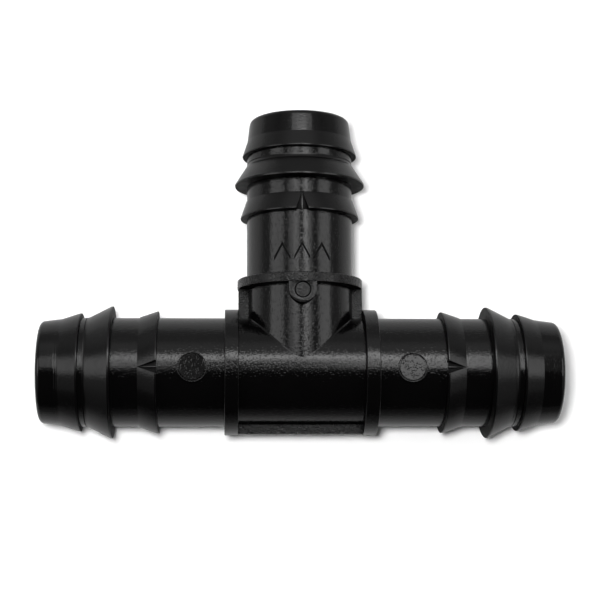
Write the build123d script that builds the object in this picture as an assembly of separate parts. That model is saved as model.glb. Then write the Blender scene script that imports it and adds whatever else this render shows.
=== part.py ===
from build123d import *
from math import sqrt
import os

# Barbed tee for 20 mm irrigation hose, an injection moulding in black polypropylene.
# The real fitting is one moulding. Here every feature of it is its own solid, and the solids
# meet face to face along the moulding's own design lines.
#
# Frame, in millimetres: the origin is where the run's axis and the branch's axis cross.
# X runs along the run, +Y along the branch, and +Z is up with the fitting lying flat.

# ---- driving dimensions --------------------------------------------------------------------
LEG_LENGTH = 41.0  # from the crossing to each of the three tips
RUN_TUBE_RADIUS = 8.6
RUN_BORE_RADIUS = 6.7
BRANCH_TUBE_RADIUS = 8.45  # the branch's core butts on the run's, so it is a little slimmer
BRANCH_BORE_RADIUS = 6.6
FLANGE_RADIUS = 10.0  # the stop collars are as wide as the hose that butts against them

TIP_RADIUS = 8.0  # the nose at its blunt end, before rounding
TIP_ROUNDING = 0.8
BORE_CHAMFER = 0.4
NOSE_RADIUS = 8.43  # the nose where the first barb starts to flare
MAIN_BARB_RADIUS = 10.45
CREST_LAND = 0.2  # the narrow flat along a barb's edge
MAIN_CREST_LAND = 0.3

# A leg's barbs: where each starts to rise and where its edge lies, measured back from the leg's
# tip, and its radius at the edge. The run has more room than the branch, so its barbs lie wider.
RUN_BARBS = {
    "tip": (3.5, 6.45, 9.33),
    "main": (7.55, 11.4, MAIN_BARB_RADIUS),
    "rear": (15.65, 18.55, 9.65),
}
BRANCH_BARBS = {
    "tip": (3.5, 6.05, 9.2),
    "main": (7.55, 10.9, MAIN_BARB_RADIUS),
    "rear": (13.4, 16.25, 9.5),
}

# The stop collars: hub side and hose side, out from the crossing.
RUN_FLANGE = (9.85, 12.0)
BRANCH_FLANGE = (13.2, 14.7)
FLANGE_ROUNDING = 0.3

NOTCH_WIDTH = 1.7  # the V across the rear barb's crown, at the barb's edge
FIN_WIDTH = 0.24
FIN_HEIGHT = 0.45

WEB_THICKNESS = 3.6  # the ribs that lie in the mould's parting plane
WEB_REACH = 9.85  # how far the ribs stand out from the axes
HUB_BLEND = 0.3  # rounding of the corner where the branch meets the run

PAD_RADIUS = 2.3  # flats left by the ejector pins
PAD_HEIGHT = 0.1  # above the tube's crown
PAD_DISTANCE = 17.0  # from the crossing

BOSS_RADIUS = 2.15
BOSS_CENTRE = 12.05  # along the branch
BOSS_MARK_RADIUS = 1.35
BOSS_MARK_DEPTH = 0.15

CHEVRON_SIZE = (2.5, 2.3)  # width across and height along the branch
CHEVRON_STROKE = 0.3
CHEVRON_HEIGHT = 0.16
CHEVRON_PLACES = (-3.1, 0.0, 3.1)  # across the branch
CHEVRON_CENTRE = 18.3  # along the branch, clear of the hose stop

GATE_RADIUS = 1.3  # dimple on the hub's underside where the plastic was injected
GATE_DEPTH = 0.4
GATE_OFFSET = -0.9  # along the branch
GATE_STUB_RADIUS = 0.5
GATE_STUB_HEIGHT = 0.25

CLEAR = 1.0  # how far a cutting tool runs past what it cuts

# ---- helpers -------------------------------------------------------------------------------


def ring(*corners):
    """A ring about X. Each corner is (distance along X, radius) or (distance, radius, rounding)."""
    points = [(corner[0], corner[1]) for corner in corners]
    roundings = [corner[2] if len(corner) > 2 else 0 for corner in corners]
    outline = FilletPolyline(*points, radius=roundings, close=True)
    return revolve(make_face(outline), axis=Axis.X, revolution_arc=360)


def along_x(radius, start, end):
    """A solid cylinder on the X axis from start to end."""
    return Pos((start + end) / 2, 0, 0) * Rot(0, 90, 0) * Cylinder(radius, end - start)


def along_y(radius, start, end):
    """A solid cylinder on the Y axis from start to end."""
    return Pos(0, (start + end) / 2, 0) * Rot(90, 0, 0) * Cylinder(radius, end - start)


def block(low, high):
    """A box between two opposite corners."""
    return Pos(*low) * Box(*[b - a for a, b in zip(low, high)], align=(Align.MIN,) * 3)


def one_or_group(shape):
    """A lone solid as itself, and several solids as one compound."""
    solids = shape.solids()
    return solids[0] if len(solids) == 1 else Compound(children=list(solids))


# ---- features of one leg, all built along +X -------------------------------------------------


def spigot_tube(tube_radius, bore_radius, hub_end, barbs):
    barb_plane = LEG_LENGTH - barbs["tip"][1]
    return ring(
        (hub_end, bore_radius), (barb_plane, bore_radius), (barb_plane, tube_radius), (hub_end, tube_radius)
    )


def tip_barb(bore_radius, barbs):
    """The nose that enters the hose, with the first barb behind it."""
    rise, edge, radius = barbs["tip"]
    return ring(
        (LEG_LENGTH - edge, bore_radius),
        (LEG_LENGTH - BORE_CHAMFER, bore_radius),
        (LEG_LENGTH, bore_radius + BORE_CHAMFER),
        (LEG_LENGTH, TIP_RADIUS, TIP_ROUNDING),
        (LEG_LENGTH - rise, NOSE_RADIUS),
        (LEG_LENGTH - edge + CREST_LAND, radius),
        (LEG_LENGTH - edge, radius),
    )


def main_barb(tube_radius, barbs):
    """The widest barb, which grips and seals the hose on its narrow crest."""
    rise, edge, radius = barbs["main"]
    return ring(
        (LEG_LENGTH - rise, tube_radius),
        (LEG_LENGTH - edge + MAIN_CREST_LAND, radius),
        (LEG_LENGTH - edge, radius),
        (LEG_LENGTH - edge, tube_radius),
    )


def rear_barb(tube_radius, barbs):
    """The low third barb. A V notch parts it over the crown and under the belly, and a thin fin
    stands in each notch, so it is two half rings and two fins."""
    start, edge = (LEG_LENGTH - distance for distance in barbs["rear"][:2])
    radius = barbs["rear"][2]
    whole = ring((start, tube_radius), (edge + CREST_LAND, radius), (edge, radius), (edge, tube_radius))
    overshoot = (start - edge + CLEAR) / (start - edge)
    half_width = NOTCH_WIDTH / 2 * overshoot
    wedge = make_face(Polyline((start, 0), (edge - CLEAR, half_width), (edge - CLEAR, -half_width), close=True))
    notch = extrude(wedge, amount=radius + CLEAR, both=True)
    fin_side = make_face(
        Polyline((start, tube_radius - CLEAR), (start, tube_radius), (edge, tube_radius + FIN_HEIGHT),
                 (edge, tube_radius - CLEAR), close=True)
    )
    fin = Rot(90, 0, 0) * extrude(fin_side, amount=FIN_WIDTH / 2, both=True)
    fin -= along_x(tube_radius, edge - CLEAR, start + CLEAR)
    return Compound(children=[*(whole - notch).solids(), *fin.solids(), *mirror(fin, about=Plane.XY).solids()])


def stop_flange(tube_radius, place):
    """The collar that the end of the hose butts against."""
    hub_side, hose_side = place
    return ring(
        (hub_side, tube_radius),
        (hose_side, tube_radius),
        (hose_side, FLANGE_RADIUS, FLANGE_ROUNDING),
        (hub_side, FLANGE_RADIUS, FLANGE_ROUNDING / 2),
    )


def ejector_pad(tube_radius):
    """The round flat that an ejector pin leaves on the tube's crown."""
    height = tube_radius + PAD_HEIGHT
    disc = Pos(PAD_DISTANCE, 0, height / 2) * Cylinder(PAD_RADIUS, height)
    return disc - along_x(tube_radius, PAD_DISTANCE - 2 * PAD_RADIUS, PAD_DISTANCE + 2 * PAD_RADIUS)


# ---- the hub and its ribs --------------------------------------------------------------------


def hub_outside():
    return along_x(RUN_TUBE_RADIUS, -RUN_FLANGE[0], RUN_FLANGE[0]) + along_y(BRANCH_TUBE_RADIUS, 0, BRANCH_FLANGE[0])


def hub_body():
    """The crossing of the two tubes, rounded where they meet, with both bores through it."""
    outside = hub_outside()
    crossing = [edge for edge in outside.edges() if edge.geom_type not in (GeomType.CIRCLE, GeomType.LINE)]
    outside = fillet(crossing, HUB_BLEND)
    body = outside - along_x(RUN_BORE_RADIUS, -LEG_LENGTH, LEG_LENGTH)
    body -= along_y(BRANCH_BORE_RADIUS, 0, LEG_LENGTH)
    gate_floor = -RUN_TUBE_RADIUS + GATE_DEPTH
    body -= Pos(0, GATE_OFFSET, gate_floor - GATE_DEPTH) * Cylinder(GATE_RADIUS, 2 * GATE_DEPTH)
    stub_middle = gate_floor - GATE_STUB_HEIGHT / 2
    return body + Pos(0, GATE_OFFSET, stub_middle) * Cylinder(GATE_STUB_RADIUS, GATE_STUB_HEIGHT)


def branch_web(hub):
    """The rib up the -X side of the branch, from the run to the branch's collar."""
    half = WEB_THICKNESS / 2
    return block((-WEB_REACH, RUN_BORE_RADIUS, -half), (0, BRANCH_FLANGE[0], half)) - hub


def bottom_spine(hub):
    """The rib along the run's far side, between the two run collars."""
    half = WEB_THICKNESS / 2
    return block((-RUN_FLANGE[0], -WEB_REACH, -half), (RUN_FLANGE[0], -RUN_BORE_RADIUS, half)) - hub


def collar_boss():
    """The flat-faced tongue under the branch collar, with a sunk ejector mark in its face."""
    tongue = Pos(0, BOSS_CENTRE, FLANGE_RADIUS / 2) * Cylinder(BOSS_RADIUS, FLANGE_RADIUS)
    tongue += block((-BOSS_RADIUS, BOSS_CENTRE, 0), (BOSS_RADIUS, BRANCH_FLANGE[0], FLANGE_RADIUS))
    tongue &= block((-BOSS_RADIUS, 0, 0), (BOSS_RADIUS, BRANCH_FLANGE[0], FLANGE_RADIUS))
    mark = Pos(0, BOSS_CENTRE, FLANGE_RADIUS) * Cylinder(BOSS_MARK_RADIUS, 2 * BOSS_MARK_DEPTH)
    return tongue - mark - along_y(BRANCH_TUBE_RADIUS, 0, LEG_LENGTH)


def chevron_mark():
    """Three raised strokes on the branch that point the way the hose goes on."""
    half, rise = CHEVRON_SIZE[0] / 2, CHEVRON_SIZE[1]
    slant = CHEVRON_STROKE * sqrt(half**2 + rise**2) / half  # the stroke measured along the branch
    low = CHEVRON_CENTRE - (rise + slant) / 2
    outline = Polyline(
        (-half, low), (0, low + rise), (half, low), (half, low + slant), (0, low + rise + slant),
        (-half, low + slant), close=True,
    )
    strokes = [Pos(x, 0, 0) * extrude(make_face(outline), amount=FLANGE_RADIUS) for x in CHEVRON_PLACES]
    span = (CHEVRON_CENTRE - 2 * rise, CHEVRON_CENTRE + 2 * rise)
    skin = along_y(BRANCH_TUBE_RADIUS + CHEVRON_HEIGHT, *span) - along_y(BRANCH_TUBE_RADIUS, *span)
    return Compound(children=[solid for stroke in strokes for solid in (stroke & skin).solids()])


# ---- the whole fitting -----------------------------------------------------------------------


def build_parts():
    """Every node's solid or solids, by name."""
    parts = {"hub_body": hub_body()}
    legs = {
        "right": (Rot(0, 0, 0), RUN_TUBE_RADIUS, RUN_BORE_RADIUS, RUN_FLANGE, RUN_BARBS),
        "left": (Rot(0, 0, 180), RUN_TUBE_RADIUS, RUN_BORE_RADIUS, RUN_FLANGE, RUN_BARBS),
        "branch": (Rot(0, 0, 90), BRANCH_TUBE_RADIUS, BRANCH_BORE_RADIUS, BRANCH_FLANGE, BRANCH_BARBS),
    }
    for leg, (turn, tube_radius, bore_radius, flange, barbs) in legs.items():
        parts[f"{leg}_spigot_tube"] = turn * spigot_tube(tube_radius, bore_radius, flange[0], barbs)
        parts[f"{leg}_tip_barb"] = turn * tip_barb(bore_radius, barbs)
        parts[f"{leg}_main_barb"] = turn * main_barb(tube_radius, barbs)
        parts[f"{leg}_rear_barb"] = turn * rear_barb(tube_radius, barbs)
        parts[f"{leg}_stop_flange"] = turn * stop_flange(tube_radius, flange)
    for leg in ("right", "left"):
        parts[f"{leg}_ejector_pad"] = legs[leg][0] * ejector_pad(RUN_TUBE_RADIUS)
    filled = parts["hub_body"] + along_x(RUN_BORE_RADIUS + CLEAR, -RUN_FLANGE[0], RUN_FLANGE[0])
    filled += along_y(BRANCH_BORE_RADIUS + CLEAR, 0, BRANCH_FLANGE[0])
    parts["branch_left_web"] = branch_web(filled)
    parts["branch_right_web"] = mirror(parts["branch_left_web"], about=Plane.YZ)
    parts["bottom_spine"] = bottom_spine(filled)
    parts["branch_ejector_boss"] = collar_boss()
    parts["branch_chevron_mark"] = chevron_mark()
    return parts


os.makedirs("parts", exist_ok=True)
for name, shape in build_parts().items():
    export_step(one_or_group(shape), f"parts/{name}.step")
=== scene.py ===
from math import acos, asin, atan2, ceil, cos, hypot, pi, radians, sin, sqrt, tan

import bmesh
import bpy
from mathutils import Matrix, Vector


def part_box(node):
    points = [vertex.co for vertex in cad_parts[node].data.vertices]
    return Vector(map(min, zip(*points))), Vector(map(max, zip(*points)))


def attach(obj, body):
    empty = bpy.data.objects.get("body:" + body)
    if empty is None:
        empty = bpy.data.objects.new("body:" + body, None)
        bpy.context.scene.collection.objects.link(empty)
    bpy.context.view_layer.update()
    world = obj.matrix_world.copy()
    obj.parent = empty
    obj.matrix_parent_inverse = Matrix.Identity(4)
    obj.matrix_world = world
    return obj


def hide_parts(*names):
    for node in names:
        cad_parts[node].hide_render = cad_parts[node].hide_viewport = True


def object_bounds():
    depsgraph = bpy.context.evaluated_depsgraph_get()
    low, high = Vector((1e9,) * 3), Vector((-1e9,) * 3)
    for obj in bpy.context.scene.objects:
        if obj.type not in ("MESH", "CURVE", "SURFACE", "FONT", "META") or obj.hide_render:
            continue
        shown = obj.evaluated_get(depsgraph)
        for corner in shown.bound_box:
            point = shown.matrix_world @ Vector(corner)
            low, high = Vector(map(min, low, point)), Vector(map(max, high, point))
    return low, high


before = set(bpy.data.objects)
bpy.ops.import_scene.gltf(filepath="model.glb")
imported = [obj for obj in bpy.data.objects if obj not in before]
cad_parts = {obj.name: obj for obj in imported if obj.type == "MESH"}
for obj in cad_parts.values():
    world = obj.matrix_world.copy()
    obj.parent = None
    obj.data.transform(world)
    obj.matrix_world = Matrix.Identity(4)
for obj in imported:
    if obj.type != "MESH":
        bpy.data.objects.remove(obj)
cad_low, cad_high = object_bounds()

# Barbed tee for irrigation hose: one glossy black injection moulding lying flat on a white table.
# The CAD frame gives where every feature lies. The meshes here add what a moulding has and the
# frame leaves out: rounded edges, the parting line, the flash and the grain of the mould.

MM = 0.001
UP = Vector((0, 0, 1))

# ---- what the frame says -----------------------------------------------------------------------

LEGS = {"right": Vector((1, 0, 0)), "left": Vector((-1, 0, 0)), "branch": Vector((0, 1, 0))}


def ring_size(leg, part):
    """Where a ring of a leg starts and ends along the leg, and its outer radius, in metres."""
    low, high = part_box(f"{leg}_{part}")
    along = LEGS[leg]
    side = UP.cross(along)
    near, far = sorted((low.dot(along), high.dot(along)))
    return near, far, (high - low).dot(Vector(map(abs, side))) / 2


FLOOR_LEVEL = cad_low.z

# ---- sizes of the details, in metres -----------------------------------------------------------

BORE = {"right": 6.7 * MM, "left": 6.7 * MM, "branch": 6.6 * MM}
BORE_CHAMFER = 0.4 * MM
NOSE_LENGTH = 3.5 * MM
TIP_RADIUS = 8.0 * MM
NOSE_RADIUS = 8.43 * MM
NOSE_CREASE = 0.05 * MM  # rounding of the bend where the nose turns into the first barb
TOOL_MARK_PLACES = (0.72 * MM, 0.38 * MM)  # fine turned steps in one nose, ahead of that bend
TOOL_MARK_WIDTH = 0.16 * MM
TOOL_MARK_RISER = 0.12 * MM
TIP_ROUNDING = 0.8 * MM
CREST_LAND = 0.2 * MM
MAIN_CREST_LAND = 0.26 * MM
CONE_BLEND = 1.2 * MM  # hollow curve where a main barb rises from the tube
CONE_TAIL = 1.01  # the ring ends just past that curve: times its tangent length, from the bend
FLASH = 0.03 * MM  # how far the parting line stands proud
FLASH_HALF_WIDTH = 0.07 * MM
EMBED = 0.06 * MM  # how deep a ring's hidden inner face sits in the tube
NOTCH_WIDTH = 2.0 * MM
NOTCH_FLOOR = 0.03 * MM  # how far the notch's floor, a dark sheet of painted shade, stands above the tube
NOTCH_FLOOR_SHARES = (0, 0.25, 0.5, 0.75, 0.93)  # where it has edges, from the barb's crest on
NOTCH_FLOOR_STEPS = 6  # facets across it
NOTCH_FLOOR_OVERLAP = 1.04  # it is this much wider than the notch, so its sides are buried
FIN_HALF_WIDTH = 0.12 * MM
FIN_HEIGHT = 0.4 * MM
EDGE_ROUNDING = 0.05 * MM
THIN_EDGE_ROUNDING = EDGE_ROUNDING * 0.6
COLLAR_ROUNDING = 0.16 * MM
COLLAR_HUB_ROUNDING = COLLAR_ROUNDING * 0.6  # on the collar's side towards the hub
RIB_BURIAL = 0.5 * MM  # how far a rib runs on inside the tube it stands on
RIB_ROUNDING = 0.1 * MM
REAR_BARB_STEP = 0.13 * MM  # the rear barb's thin end stands this proud of the tube
PAD_GROOVE = 0.11 * MM
PAD_GROOVE_DEPTH = 0.2 * MM
PAD_SINK = 0.55 * MM  # the pad's side runs on inside the tube
PAD_ROUNDING = 0.02 * MM
BOSS_ROUNDING = 0.04 * MM
BOSS_TOP_GAP = 0.01 * MM  # keeps the tongue's face just inside its CAD node
BOSS_MARK_RADIUS = 1.27 * MM
BOSS_MARK_DROP = 0.17 * MM  # the pin's mark lies this far below the middle of the tongue's round end
BOSS_MARK_DEPTH = 0.15 * MM
BOSS_GROOVE_DEPTH = 0.1 * MM  # the groove round the mark, below its floor
BOSS_MARK_CROWN = 0.12 * MM  # the mark's middle stands this far above its floor
PAINTED_SHADE_BELOW = 0.06 * MM  # the tongue's walls and groove get the dull plastic's painted shade from this far under its face
CHEVRON_WIDTH = 2.5 * MM
CHEVRON_RISE = 2.3 * MM
CHEVRON_STROKE = 0.3 * MM
CHEVRON_HEIGHT = 0.15 * MM
GRAIN_SIZE = 0.26 * MM  # pits of the mould's spark-eroded texture
FROST_SIZE = 0.15 * MM  # finer unevenness between the pits

TURN_STEPS = 192  # facets round a ring
DISC_STEPS = 96  # points round a pad or a pin mark, a multiple of four
CHEVRON_STEPS = 12  # along half a chevron
STROKE_STEPS = 8  # over a stroke's round back

# ---- mesh helpers ------------------------------------------------------------------------------


def round_corners(corners, step=radians(12)):
    """A closed outline's points, with an arc at each corner (x, r, rounding) that has a rounding."""
    points = []
    for index, corner in enumerate(corners):
        place = Vector(corner[:2])
        rounding = corner[2] if len(corner) > 2 else 0
        if not rounding:
            points.append(place)
            continue
        before = (Vector(corners[index - 1][:2]) - place).normalized()
        after = (Vector(corners[(index + 1) % len(corners)][:2]) - place).normalized()
        half = acos(max(-1, min(1, before.dot(after)))) / 2
        centre = place + (before + after).normalized() * (rounding / sin(half))
        start = place + before * (rounding / tan(half)) - centre
        sweep = start.angle_signed(place + after * (rounding / tan(half)) - centre)
        count = max(2, ceil(abs(sweep) / step))
        for k in range(count + 1):
            points.append(centre + Matrix.Rotation(-sweep * k / count, 2) @ start)
    return points


def to_row(leg, x, r, turn):
    """A leg's point: x along it, r out from it, turned from its parting plane towards +Z."""
    along = LEGS[leg]
    side = UP.cross(along)
    return along * x + side * (r * cos(turn)) + UP * (r * sin(turn))


def turn_angles(first, last, radius):
    """Even angles from first to last, with extra ones beside the parting plane at 0 and pi."""
    count = max(2, round((last - first) / (2 * pi) * TURN_STEPS))
    angles = [first + (last - first) * k / count for k in range(count + 1)]
    width = FLASH_HALF_WIDTH / radius
    for plane in (0, pi, 2 * pi):
        if first - 1e-6 <= plane <= last + 1e-6:
            angles = [a for a in angles if abs(a - plane) > 2 * width or a in (first, last)]
            angles += [a for a in (plane - width, plane, plane + width) if first < a < last]
    return sorted(set(angles))


def flash_lift(turn, radius):
    """How far the parting line lifts the surface at this angle."""
    away = min(abs(turn), abs(turn - pi), abs(turn - 2 * pi)) * radius
    return FLASH * max(0, 1 - away / FLASH_HALF_WIDTH)


def new_piece(name, mesh_maker, bevel, material, painted_shade_sides=()):
    """Makes an object from a filled bmesh and lets it replace the CAD node of the same name.

    Faces that look along one of the listed sides get the dull plastic, a painted shade: its low sheen
    darkens these flanks and back faces as the shade in the corner at their foot would.
    """
    mesh = bpy.data.meshes.new(name)
    mesh_maker.normal_update()
    bmesh.ops.recalc_face_normals(mesh_maker, faces=mesh_maker.faces)
    if mesh_maker.calc_volume(signed=True) < 0:
        bmesh.ops.reverse_faces(mesh_maker, faces=mesh_maker.faces)
    for face in mesh_maker.faces:
        if any(face.normal.dot(side) > 0.9 for side in painted_shade_sides):
            face.material_index = 1
    mesh_maker.to_mesh(mesh)
    mesh_maker.free()
    piece = bpy.data.objects.new(name, mesh)
    bpy.context.scene.collection.objects.link(piece)
    finish_surface(piece, bevel)
    piece.data.materials.append(material)
    if painted_shade_sides:
        piece.data.materials.append(DULL_SHADE_PLASTIC)
    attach(piece, "root")
    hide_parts(name)
    return piece


def finish_surface(piece, bevel):
    """Smooth shading, rounded sharp edges and normals that follow the large faces."""
    mesh = piece.data
    mesh.polygons.foreach_set("use_smooth", [True] * len(mesh.polygons))
    if not bevel:
        mesh.set_sharp_from_angle(angle=radians(25))
    else:
        rounding = piece.modifiers.new("rounding", "BEVEL")
        rounding.width = bevel
        rounding.segments = 3
        rounding.limit_method = "ANGLE"
        rounding.angle_limit = radians(18)
        rounding.use_clamp_overlap = True
        rounding.harden_normals = False
    weighted = piece.modifiers.new("large faces lead", "WEIGHTED_NORMAL")
    weighted.mode = "FACE_AREA"
    weighted.weight = 100
    weighted.keep_sharp = True


def sweep_ring(maker, leg, outline, angles_of, lift_from):
    """Adds an outline swept round a leg. angles_of gives each outline point its own angles.

    The parting line is lifted on points at least lift_from away from the leg's axis.
    """
    rows = []
    for point in outline:
        row = []
        for turn in angles_of(point.x, point.y):
            lift = flash_lift(turn, point.y) if point.y >= lift_from else 0
            row.append(maker.verts.new(to_row(leg, point.x, point.y + lift, turn)))
        rows.append(row)
    return rows


def skin(maker, rows, closed):
    """Quads between neighbouring rows, all round the outline, and round the leg if closed."""
    for index, row in enumerate(rows):
        following = rows[(index + 1) % len(rows)]
        count = len(row)
        for k in range(count if closed else count - 1):
            maker.faces.new((row[k], row[(k + 1) % count], following[(k + 1) % count], following[k]))


def lathe(name, leg, corners, bevel, material, lift_from, painted_shade_sides=(), sharp_corners=()):
    """A ring turned all the way round its leg. sharp_corners keep a crisp edge however blunt."""
    outline = round_corners(corners)
    angles = turn_angles(0, 2 * pi, max(point.y for point in outline))[:-1]
    maker = bmesh.new()
    rows = sweep_ring(maker, leg, outline, lambda x, r: angles, lift_from)
    skin(maker, rows, closed=True)
    for point, row in zip(outline, rows):
        if any(abs(point.x - corner[0]) < 1e-8 for corner in sharp_corners):
            for vertex, following in zip(row, row[1:] + row[:1]):
                maker.edges.get((vertex, following)).smooth = False
    return new_piece(name, maker, bevel, material, painted_shade_sides)


# ---- materials ---------------------------------------------------------------------------------


DARKEST = (0.0022, 0.0021, 0.0023, 1)
LIGHTEST = (0.0042, 0.0039, 0.0041, 1)


def plastic(name, roughness, grain_size, grain_height, haze, flat_share=0.35, frost_height=0):
    """Black polypropylene with the mould's spark-eroded texture: pits on a fine frost.

    flat_share is the level of the noise below which the surface has no pit.
    """
    material = bpy.data.materials.new(name)
    material.use_nodes = True
    nodes, links = material.node_tree.nodes, material.node_tree.links
    shader = nodes["Principled BSDF"]
    shader.inputs["IOR"].default_value = 1.49
    place = nodes.new("ShaderNodeTexCoord")

    def noise(scale, detail, rough=0.6):
        node = nodes.new("ShaderNodeTexNoise")
        node.inputs["Scale"].default_value = scale
        node.inputs["Detail"].default_value = detail
        node.inputs["Roughness"].default_value = rough
        links.new(place.outputs["Object"], node.inputs["Vector"])
        return node

    def spread(source, low, high, from_low=0.3, from_high=0.7):
        node = nodes.new("ShaderNodeMapRange")
        node.inputs["From Min"].default_value = from_low
        node.inputs["From Max"].default_value = from_high
        node.inputs["To Min"].default_value = low
        node.inputs["To Max"].default_value = high
        links.new(source, node.inputs["Value"])
        return node

    cloud = noise(1 / (4 * MM), 3)
    tint = nodes.new("ShaderNodeMix")
    tint.data_type = "RGBA"
    tint.inputs["A"].default_value = DARKEST
    tint.inputs["B"].default_value = LIGHTEST
    links.new(cloud.outputs["Fac"], tint.inputs["Factor"])
    links.new(tint.outputs["Result"], shader.inputs["Base Color"])

    haze_noise = noise(1 / (1.1 * MM), 4)
    haze_level = spread(haze_noise.outputs["Fac"], roughness - haze, roughness + haze)
    links.new(haze_level.outputs["Result"], shader.inputs["Roughness"])

    grain = noise(1 / grain_size, 0, 0.5)
    pits = spread(grain.outputs["Fac"], 0, grain_height, flat_share, flat_share + 0.3)
    pits.interpolation_type = "SMOOTHSTEP"
    frost = spread(noise(1 / FROST_SIZE, 0, 0.5).outputs["Fac"], 0, frost_height)
    relief = nodes.new("ShaderNodeMath")
    relief.operation = "ADD"
    links.new(pits.outputs["Result"], relief.inputs[0])
    links.new(frost.outputs["Result"], relief.inputs[1])
    bump = nodes.new("ShaderNodeBump")
    bump.inputs["Strength"].default_value = 1.0
    bump.inputs["Distance"].default_value = 1.0
    links.new(relief.outputs["Value"], bump.inputs["Height"])
    links.new(bump.outputs["Normal"], shader.inputs["Normal"])
    return material


TUBE_PLASTIC = plastic(
    "spark eroded black plastic",
    roughness=0.10,
    grain_size=GRAIN_SIZE,
    grain_height=0.014 * MM,
    haze=0.02,
    flat_share=0.54,
    frost_height=0.004 * MM,
)
BARB_PLASTIC = plastic(
    "satin black plastic", roughness=0.22, grain_size=0.28 * MM, grain_height=0.004 * MM, haze=0.04
)
NOSE_PLASTIC = plastic(
    "polished black plastic",
    roughness=0.11,
    grain_size=GRAIN_SIZE,
    grain_height=0.006 * MM,
    haze=0.02,
    flat_share=0.5,
)
RIB_PLASTIC = plastic(
    "rough black plastic", roughness=0.28, grain_size=GRAIN_SIZE, grain_height=0.03 * MM, haze=0.05
)
PAD_PLASTIC = plastic(
    "ejector flat black plastic",
    roughness=0.10,
    grain_size=GRAIN_SIZE,
    grain_height=0.009 * MM,
    haze=0.02,
    flat_share=0.52,
    frost_height=0.001 * MM,
)
SMOOTH_PAD_PLASTIC = plastic(
    "smooth ejector flat black plastic",
    roughness=0.08,
    grain_size=GRAIN_SIZE,
    grain_height=0.005 * MM,
    haze=0.02,
    flat_share=0.55,
)
BOSS_PLASTIC = plastic(
    "ejector mark black plastic",
    roughness=0.22,
    grain_size=GRAIN_SIZE,
    grain_height=0.012 * MM,
    haze=0.03,
    flat_share=0.45,
)
# Painted shade: the same black with little sheen. It darkens barb backs, collar flanks, the notch floor,
# the tongue's groove and the chevrons, as the shade in those corners and recesses would.
DULL_SHADE_PLASTIC = plastic(
    "dull black plastic painted shade", roughness=0.5, grain_size=0.3 * MM, grain_height=0.01 * MM, haze=0.05
)
DULL_SHADE_PLASTIC.node_tree.nodes["Principled BSDF"].inputs["Specular IOR Level"].default_value = 0.18

# ---- the three legs ----------------------------------------------------------------------------


def make_tube(leg):
    near, far, radius = ring_size(leg, "spigot_tube")
    corners = [(near, BORE[leg]), (far, BORE[leg]), (far, radius), (near, radius)]
    lathe(f"{leg}_spigot_tube", leg, corners, 0, TUBE_PLASTIC, radius - EMBED / 2)


def tool_marks(far):
    """The corners of the turned steps in a nose whose blunt end lies at far, from tip to barb."""

    def nose_radius(x):
        return TIP_RADIUS + (NOSE_RADIUS - TIP_RADIUS) * (far - x) / NOSE_LENGTH

    corners = []
    for place in TOOL_MARK_PLACES:
        start = far - NOSE_LENGTH + place
        end = start - TOOL_MARK_WIDTH
        back = end - TOOL_MARK_RISER
        corners += [(start, nose_radius(start)), (end, nose_radius(start)), (back, nose_radius(back))]
    return corners


def make_tip_barb(leg):
    near, far, radius = ring_size(leg, "tip_barb")
    bore = BORE[leg]
    marks = tool_marks(far) if leg == "left" else []
    corners = [
        (near, bore),
        (far - BORE_CHAMFER, bore),
        (far, bore + BORE_CHAMFER),
        (far, TIP_RADIUS, TIP_ROUNDING),
        *marks,
        (far - NOSE_LENGTH, NOSE_RADIUS, NOSE_CREASE),
        (near + CREST_LAND, radius),
        (near, radius),
    ]
    name = f"{leg}_tip_barb"
    # The back face gets the dull plastic, painted shade that darkens it as the shade under the barb would.
    piece = lathe(name, leg, corners, EDGE_ROUNDING, BARB_PLASTIC, TIP_RADIUS, [-LEGS[leg]], marks)
    piece.data.materials.append(NOSE_PLASTIC)
    nose_start = far - NOSE_LENGTH
    for face in piece.data.polygons:
        if face.material_index == 0 and face.center.dot(LEGS[leg]) > nose_start:
            face.material_index = 2


def make_main_barb(leg):
    near, far, radius = ring_size(leg, "main_barb")
    tube = ring_size(leg, "spigot_tube")[2]
    slope = atan2(radius - tube, far - near - MAIN_CREST_LAND)
    blend = CONE_BLEND * tan(slope / 2)
    corners = [
        (far + blend * CONE_TAIL, tube - EMBED),
        (far + blend * CONE_TAIL, tube),
        (far, tube, CONE_BLEND),
        (near + MAIN_CREST_LAND, radius - FLASH),
        (near, radius - FLASH),
        (near, tube - EMBED),
    ]
    # The back face gets the dull plastic, painted shade that darkens it as the shade under the barb would.
    lathe(f"{leg}_main_barb", leg, corners, EDGE_ROUNDING, BARB_PLASTIC, tube, [-LEGS[leg]])


def make_collar(leg):
    near, far, radius = ring_size(leg, "stop_flange")
    tube = ring_size(leg, "spigot_tube")[2]
    corners = [
        (near, tube - EMBED),
        (far, tube - EMBED),
        (far, radius - FLASH, COLLAR_ROUNDING),
        (near, radius - FLASH, COLLAR_HUB_ROUNDING),
    ]
    material = RIB_PLASTIC if leg == "branch" else TUBE_PLASTIC
    # Both flanks get the dull plastic, painted shade that darkens them as the shade in the corner at their
    # foot would.
    lathe(f"{leg}_stop_flange", leg, corners, 0, material, tube, [LEGS[leg], -LEGS[leg]])


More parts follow.
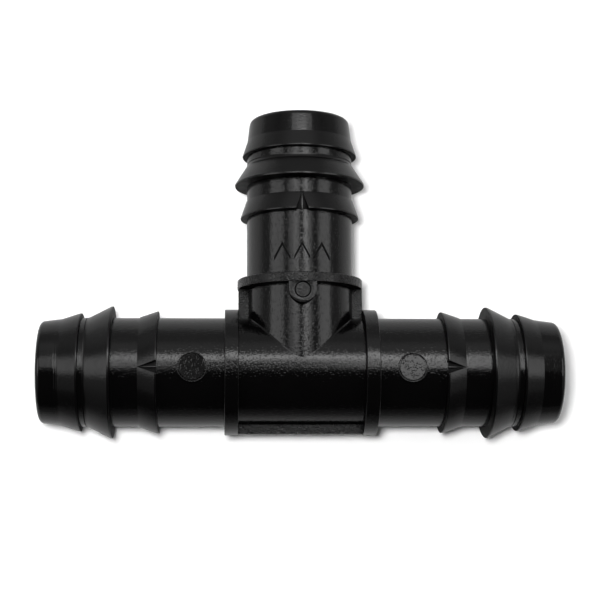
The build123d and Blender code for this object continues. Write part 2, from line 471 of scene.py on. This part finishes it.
def make_rear_barb(leg):
    """Two half rings with a V notch between them on the crown and under the belly, and two fins."""
    near, far, radius = ring_size(leg, "rear_barb")
    tube = ring_size(leg, "spigot_tube")[2]
    step = tube + REAR_BARB_STEP
    corners = [
        (far, tube - EMBED),
        (far, step),
        (near + CREST_LAND, radius),
        (near, radius),
        (near, tube - EMBED),
    ]
    outline = round_corners(corners)
    maker = bmesh.new()
    for first in (-pi / 2, pi / 2):

        def angles_of(x, r, first=first):
            gap = asin(NOTCH_WIDTH / 2 * (far - x) / (far - near) / r)
            base = turn_angles(first, first + pi, radius)
            share = [(a - first) / pi for a in base]
            return [first + gap + (pi - 2 * gap) * s for s in share]

        rows = sweep_ring(maker, leg, outline, angles_of, 1)
        skin(maker, rows, closed=False)
        maker.faces.new([row[0] for row in rows])
        maker.faces.new([row[-1] for row in reversed(rows)])
    for crown in (1, -1):
        add_notch_shade_floor(maker, leg, near, far, tube, crown)
        add_fin(maker, leg, near, far, tube, crown)
    # The back face and the notch floor get the dull plastic, painted shade as the shade under the barb and
    # in the deep notch would give.
    new_piece(f"{leg}_rear_barb", maker, THIN_EDGE_ROUNDING, BARB_PLASTIC, [-LEGS[leg]])


def add_notch_shade_floor(maker, leg, near, far, tube, crown):
    """A dark sheet of painted shade on the notch's floor, a hair above the tube, with its sides buried in
    the barb.
    """
    steps = NOTCH_FLOOR_STEPS
    rows = []
    for share in NOTCH_FLOOR_SHARES:
        x = near + (far - near) * share
        half = asin(NOTCH_WIDTH / 2 * (1 - share) / tube) * NOTCH_FLOOR_OVERLAP
        for radius in (tube + NOTCH_FLOOR, tube - EMBED):
            turns = [crown * pi / 2 + half * (2 * k / steps - 1) for k in range(steps + 1)]
            rows.append([maker.verts.new(to_row(leg, x, radius, turn)) for turn in turns])
    upper, lower = rows[::2], rows[1::2]
    faces = []
    for layer in (upper, lower):
        for row, following in zip(layer, layer[1:]):
            faces += [(row[k], row[k + 1], following[k + 1], following[k]) for k in range(steps)]
    for index in range(len(upper) - 1):
        top, next_top = upper[index], upper[index + 1]
        bottom, next_bottom = lower[index], lower[index + 1]
        for side in (0, -1):
            faces.append((top[side], next_top[side], next_bottom[side], bottom[side]))
    for index in (0, -1):
        top, bottom = upper[index], lower[index]
        faces += [(top[k], top[k + 1], bottom[k + 1], bottom[k]) for k in range(steps)]
    for corners in faces:
        maker.faces.new(corners).material_index = 1


def add_fin(maker, leg, near, far, tube, crown):
    """A thin fin in the notch, rising from the tube's crown towards the barb's edge."""
    side = UP.cross(LEGS[leg])
    corners = [(far, -EMBED), (far, 0), (near, FIN_HEIGHT), (near, -EMBED)]
    sides = []
    for offset in (-FIN_HALF_WIDTH, FIN_HALF_WIDTH):
        places = [LEGS[leg] * x + side * offset + UP * crown * (tube + rise) for x, rise in corners]
        sides.append([maker.verts.new(place) for place in places])
    maker.faces.new(sides[0])
    maker.faces.new(list(reversed(sides[1])))
    for k in range(len(corners)):
        following = (k + 1) % len(corners)
        maker.faces.new((sides[0][following], sides[0][k], sides[1][k], sides[1][following]))


for leg_name in LEGS:
    make_tube(leg_name)
    make_tip_barb(leg_name)
    make_main_barb(leg_name)
    make_rear_barb(leg_name)
    make_collar(leg_name)

# ---- the hub, its ribs and the mould marks -----------------------------------------------------


def paint_cad_node(node, material):
    """A CAD node whose shape is already right gets its material only."""
    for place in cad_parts[node].material_slots:
        place.material = material


def make_rib(node, buried_sides):
    """A flat rib with softened edges, let into the tubes beside it.

    buried_sides are pairs of an axis (0 is X, 1 is Y) and the rib's end along it, -1 or 1.
    """
    low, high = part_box(node)
    low, high = Vector(low), Vector(high)
    for axis, side in buried_sides:
        if side < 0:
            low[axis] -= RIB_BURIAL
        else:
            high[axis] += RIB_BURIAL
    maker = bmesh.new()
    bmesh.ops.create_cube(maker, size=1)
    bmesh.ops.scale(maker, vec=high - low, verts=maker.verts)
    bmesh.ops.translate(maker, vec=(low + high) / 2, verts=maker.verts)
    new_piece(node, maker, RIB_ROUNDING, RIB_PLASTIC)


def circle_edge(centre, radius):
    """Points round a circle, the first half of them on its +Y side."""
    turns = [2 * pi * k / DISC_STEPS for k in range(DISC_STEPS)]
    return [(centre.x + radius * cos(turn), centre.y + radius * sin(turn)) for turn in turns]


def tongue_edge(centre, radius, root):
    """Points round a tongue that is round on its -Y side and runs on straight to y = root."""
    points = circle_edge(centre, radius)
    half = DISC_STEPS // 2
    quarter = half // 2
    for k in range(1, half):
        if k <= quarter:
            points[k] = (centre.x + radius, centre.y + (root - centre.y) * k / quarter)
        else:
            points[k] = (centre.x - radius, centre.y + (root - centre.y) * (half - k) / quarter)
    return points


def stack_edges(maker, edges):
    """A solid skinned over edges of equally many points. Each edge is (points, height)."""
    rows = [[maker.verts.new((x, y, height)) for x, y in points] for points, height in edges]
    for upper, lower in zip(rows, rows[1:]):
        for k in range(len(upper)):
            following = (k + 1) % len(upper)
            maker.faces.new((upper[k], upper[following], lower[following], lower[k]))
    maker.faces.new(rows[0])
    maker.faces.new(list(reversed(rows[-1])))


def make_pad(node, material):
    """The flat left by an ejector pin, with the witness groove that the pin's edge leaves round it."""
    low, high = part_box(node)
    centre, top, radius = (low + high) / 2, high.z, (high.x - low.x) / 2
    floor = top - PAD_GROOVE_DEPTH
    outline = [
        (radius - 3 * PAD_GROOVE, top),
        (radius - 2.2 * PAD_GROOVE, floor),
        (radius - 1.6 * PAD_GROOVE, floor),
        (radius - PAD_GROOVE, top),
        (radius, top),
        (radius, top - PAD_SINK),
    ]
    maker = bmesh.new()
    stack_edges(maker, [(circle_edge(centre, reach), height) for reach, height in outline])
    new_piece(node, maker, PAD_ROUNDING, material)


def make_boss():
    """The tongue under the branch collar, with the ejector pin's mark sunk in its flat face."""
    node = "branch_ejector_boss"
    low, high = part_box(node)
    radius, top = (high.x - low.x) / 2, high.z - BOSS_TOP_GAP
    centre = Vector((0, low.y + radius, 0))
    mark = centre - Vector((0, BOSS_MARK_DROP, 0))
    floor = top - BOSS_MARK_DEPTH
    outer = tongue_edge(centre, radius, high.y)
    maker = bmesh.new()
    stack_edges(maker, [
        (circle_edge(mark, BOSS_MARK_RADIUS * 0.86), floor + BOSS_MARK_CROWN),
        (circle_edge(mark, BOSS_MARK_RADIUS * 0.9), floor - BOSS_GROOVE_DEPTH),
        (circle_edge(mark, BOSS_MARK_RADIUS), floor - BOSS_GROOVE_DEPTH),
        (circle_edge(mark, BOSS_MARK_RADIUS * 1.03), top),
        (outer, top),
        (outer, low.z - RIB_BURIAL),
    ])
    # Painted shade: the walls and groove of the pin's mark get the dull plastic, darkening them as the
    # shade in the recess would.
    for face in maker.faces:
        if face.calc_center_median().z < top - PAINTED_SHADE_BELOW:
            face.material_index = 1
    new_piece(node, maker, BOSS_ROUNDING, BOSS_PLASTIC, [LEGS["branch"]])


def make_chevrons():
    """Three round-backed strokes moulded on the branch."""
    node = "branch_chevron_mark"
    low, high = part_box(node)
    tube = ring_size("branch", "spigot_tube")[2]
    half = CHEVRON_WIDTH / 2
    slant = CHEVRON_STROKE * hypot(half, CHEVRON_RISE) / half
    maker = bmesh.new()
    for middle in (low.x + half, 0, high.x - half):
        rows = []
        for step in range(-CHEVRON_STEPS, CHEVRON_STEPS + 1):
            x = middle + half * step / CHEVRON_STEPS
            start = low.y + CHEVRON_RISE * (1 - abs(step) / CHEVRON_STEPS)
            row = []
            for k in range(STROKE_STEPS + 1):
                turn = pi * k / STROKE_STEPS
                reach = tube + CHEVRON_HEIGHT * sin(turn)
                row.append(maker.verts.new((x, start + slant * (1 - cos(turn)) / 2, sqrt(reach**2 - x**2))))
            for y in (start + slant, start):
                row.append(maker.verts.new((x, y, sqrt((tube - EMBED) ** 2 - x**2))))
            rows.append(row)
        for row, following in zip(rows, rows[1:]):
            for k in range(len(row)):
                after = (k + 1) % len(row)
                maker.faces.new((row[k], row[after], following[after], following[k]))
        maker.faces.new(rows[0])
        maker.faces.new(list(reversed(rows[-1])))
    # The strokes get the dull plastic: partly a duller finish of the marks, partly painted shade that
    # darkens them as the shade along their edges would.
    new_piece(node, maker, 0, DULL_SHADE_PLASTIC)


paint_cad_node("hub_body", TUBE_PLASTIC)
make_rib("branch_left_web", [(0, 1), (1, -1)])
make_rib("branch_right_web", [(0, -1), (1, -1)])
make_rib("bottom_spine", [(1, 1)])
make_pad("left_ejector_pad", SMOOTH_PAD_PLASTIC)
make_pad("right_ejector_pad", PAD_PLASTIC)
make_boss()
make_chevrons()

# ---- camera ------------------------------------------------------------------------------------

# Almost straight above, leaning a little to the front and the left.
CAMERA_PLACE = Vector((-11.4, -21.76, 231.04)) * MM
CAMERA_PITCH, CAMERA_YAW, CAMERA_ROLL = radians(-8.219), radians(2.833), radians(0.202)
camera_data = bpy.data.cameras.new("camera")
camera_data.sensor_width = 36
camera_data.lens = 87.4
camera_data.clip_start = 0.01
camera = bpy.data.objects.new("camera", camera_data)
bpy.context.scene.collection.objects.link(camera)
roll = Matrix.Rotation(CAMERA_ROLL, 3, "Z")
pitch = Matrix.Rotation(CAMERA_PITCH, 3, "X")
yaw = Matrix.Rotation(CAMERA_YAW, 3, "Y")
turned = roll @ pitch @ yaw
camera.matrix_world = Matrix.Translation(CAMERA_PLACE) @ turned.transposed().to_4x4()
bpy.context.scene.camera = camera

# ---- table and light ---------------------------------------------------------------------------


TABLE_HALF = 3.0  # metres
TABLE_WHITE = (0.9, 0.9, 0.9, 1)


def make_table():
    """A flat white table. Camera rays see it white, and every other ray sees it greyer."""
    half = TABLE_HALF
    mesh = bpy.data.meshes.new("table")
    corners = [(-half, -half), (half, -half), (half, half), (-half, half)]
    mesh.from_pydata([(x, y, FLOOR_LEVEL) for x, y in corners], [], [(0, 1, 2, 3)])
    table = bpy.data.objects.new("table", mesh)
    bpy.context.scene.collection.objects.link(table)
    white = bpy.data.materials.new("white table")
    white.use_nodes = True
    nodes, links = white.node_tree.nodes, white.node_tree.links
    shader = nodes["Principled BSDF"]
    shader.inputs["Roughness"].default_value = 0.9
    shader.inputs["Specular IOR Level"].default_value = 0.0
    seen_by = nodes.new("ShaderNodeLightPath")
    tone = nodes.new("ShaderNodeMix")
    tone.data_type = "RGBA"
    tone.inputs["B"].default_value = TABLE_WHITE
    links.new(seen_by.outputs["Is Camera Ray"], tone.inputs["Factor"])
    links.new(tone.outputs["Result"], shader.inputs["Base Color"])
    # Painted shade: in the plastic's reflections the table's colour darkens towards the front, as the light
    # from the window behind it falls off.
    place = nodes.new("ShaderNodeTexCoord")
    split = nodes.new("ShaderNodeSeparateXYZ")
    links.new(place.outputs["Object"], split.inputs["Vector"])
    window_shade = nodes.new("ShaderNodeMapRange")
    window_shade.inputs["From Min"].default_value = -0.06
    window_shade.inputs["From Max"].default_value = -0.015
    window_shade.inputs["To Min"].default_value = 0.09
    window_shade.inputs["To Max"].default_value = 0.38
    links.new(split.outputs["Y"], window_shade.inputs["Value"])
    links.new(window_shade.outputs["Result"], tone.inputs["A"])
    # Far from the fitting the table glows, evenly to the camera so that it stays pale to the horizon, and
    # in reflections with the same painted shade towards the front.
    reach = nodes.new("ShaderNodeVectorMath")
    reach.operation = "LENGTH"
    links.new(place.outputs["Object"], reach.inputs[0])
    far_off = nodes.new("ShaderNodeMapRange")
    far_off.interpolation_type = "SMOOTHSTEP"
    far_off.inputs["From Min"].default_value = 0.09
    far_off.inputs["From Max"].default_value = 0.30
    links.new(reach.outputs["Value"], far_off.inputs["Value"])
    glow = nodes.new("ShaderNodeEmission")
    glow_level = nodes.new("ShaderNodeMapRange")
    glow_level.inputs["To Max"].default_value = 1.0
    links.new(window_shade.outputs["Result"], glow_level.inputs["To Min"])
    links.new(seen_by.outputs["Is Camera Ray"], glow_level.inputs["Value"])
    links.new(glow_level.outputs["Result"], glow.inputs["Strength"])
    both = nodes.new("ShaderNodeMixShader")
    links.new(far_off.outputs["Result"], both.inputs["Fac"])
    links.new(shader.outputs["BSDF"], both.inputs[1])
    links.new(glow.outputs["Emission"], both.inputs[2])
    links.new(both.outputs["Shader"], nodes["Material Output"].inputs["Surface"])
    mesh.materials.append(white)
    return table


def softbox(name, across, up, radiance, distance):
    """A rectangular light that fills a range of directions, in degrees from straight above.

    across is the range towards +X and up the range towards +Y. distance is in metres.
    """
    middle_x, middle_y = radians(sum(across) / 2), radians(sum(up) / 2)
    direction = Vector((tan(middle_x), tan(middle_y), 1)).normalized()
    data = bpy.data.lights.new(name, "AREA")
    data.shape = "RECTANGLE"
    data.size = 2 * distance * tan(radians(across[1] - across[0]) / 2)
    data.size_y = 2 * distance * tan(radians(up[1] - up[0]) / 2)
    data.energy = radiance * pi * data.size * data.size_y
    light = bpy.data.objects.new(name, data)
    sideways = Vector((1, 0, 0)) - direction * direction.x
    sideways.normalize()
    upward = direction.cross(sideways)
    turned = Matrix((sideways, upward, direction)).transposed().to_4x4()
    light.matrix_world = Matrix.Translation(direction * distance) @ turned
    light.visible_camera = False
    bpy.context.scene.collection.objects.link(light)


FAR = 0.8  # metres from the fitting
NEAR = 0.78  # in front of the far ones
OUTER = 0.9  # behind them all
SOFTBOXES = {  # range across, range up, radiance, distance
    "overhead_left": ((-18, -5), (3, 35), 1.5, FAR),
    "overhead_far_left": ((-27, -18), (6, 29), 1.1, FAR),
    "overhead_right": ((7, 24), (3, 35), 1.3, FAR),
    "overhead_middle": ((-5, 7), (17, 34), 0.9, FAR),
    "overhead_lamp": ((-6, 12), (20, 31), 3.6, NEAR),
    "overhead_right_lamp": ((6, 15), (5, 20), 2.3, NEAR),
    "overhead_left_lamp": ((-14, -4), (8, 20), 1.0, NEAR),
    "left_side": ((-67, -37), (-3, 24), 1.3, FAR),
    "left_side_low": ((-60, -37), (-42, -3), 0.15, FAR),
    "right_side": ((38, 65), (-6, 25), 1.4, FAR),
    "right_side_low": ((39, 60), (-42, -6), 0.15, FAR),
    "bridge": ((-66, 66), (-2, 40), 0.15, OUTER),
}
LAMP_OFFSET = Vector((-17, 12.5, 0)) * MM
LAMP_WIDTH = 32 * MM
LAMP_RADIANCE = 240

table = make_table()
for box_name, (across, up, radiance, distance) in SOFTBOXES.items():
    softbox(box_name, across, up, radiance, distance)

# This lamp lights only the table. It hangs beside the camera, to its upper left, so the soft shadow
# shows as a narrow rim along the fitting's lower and right edges.
lamp_data = bpy.data.lights.new("table_lamp", "AREA")
lamp_data.shape = "DISK"
lamp_data.size = LAMP_WIDTH
lamp_data.energy = LAMP_RADIANCE * pi * pi * LAMP_WIDTH**2 / 4
table_lamp = bpy.data.objects.new("table_lamp", lamp_data)
table_lamp.location = CAMERA_PLACE + LAMP_OFFSET
table_lamp.visible_camera = False
bpy.context.scene.collection.objects.link(table_lamp)
only_table = bpy.data.collections.new("only the table")
only_table.objects.link(table)
table_lamp.light_linking.receiver_collection = only_table


def make_world():
    """Dark behind the camera, grey walls behind the fitting and beside it, and white to the camera."""
    world = bpy.data.worlds.new("studio")
    bpy.context.scene.world = world
    world.use_nodes = True
    nodes, links = world.node_tree.nodes, world.node_tree.links
    background = nodes["Background"]
    place = nodes.new("ShaderNodeTexCoord")
    split = nodes.new("ShaderNodeSeparateXYZ")
    links.new(place.outputs["Generated"], split.inputs["Vector"])

    def ramp(source, low, high, level):
        node = nodes.new("ShaderNodeMapRange")
        node.interpolation_type = "SMOOTHSTEP"
        node.inputs["From Min"].default_value = low
        node.inputs["From Max"].default_value = high
        node.inputs["To Max"].default_value = level
        links.new(source, node.inputs["Value"])
        return node.outputs["Result"]

    def maths(operation, first, second):
        node = nodes.new("ShaderNodeMath")
        node.operation = operation
        for socket, value in zip(node.inputs, (first, second)):
            if isinstance(value, (int, float)):
                socket.default_value = value
            else:
                links.new(value, socket)
        return node.outputs["Value"]

    behind = ramp(split.outputs["Y"], 0.35, 0.72, 0.5)
    above_horizon = ramp(split.outputs["Y"], 0.78, 0.93, -0.26)
    sideways = maths("ABSOLUTE", split.outputs["X"], 0)
    corner_shade = maths("SUBTRACT", 1, ramp(sideways, 0.2, 0.6, 0.5))
    beside = ramp(sideways, 0.55, 0.97, 0.2)
    back_wall = maths("MULTIPLY", maths("ADD", behind, above_horizon), corner_shade)
    level = maths("ADD", maths("ADD", back_wall, beside), 0.015)
    seen_by = nodes.new("ShaderNodeLightPath")
    shown = maths("MAXIMUM", level, seen_by.outputs["Is Camera Ray"])
    links.new(shown, background.inputs["Strength"])
    background.inputs["Color"].default_value = (1, 1, 1, 1)


make_world()
bpy.context.scene.view_settings.view_transform = "Standard"
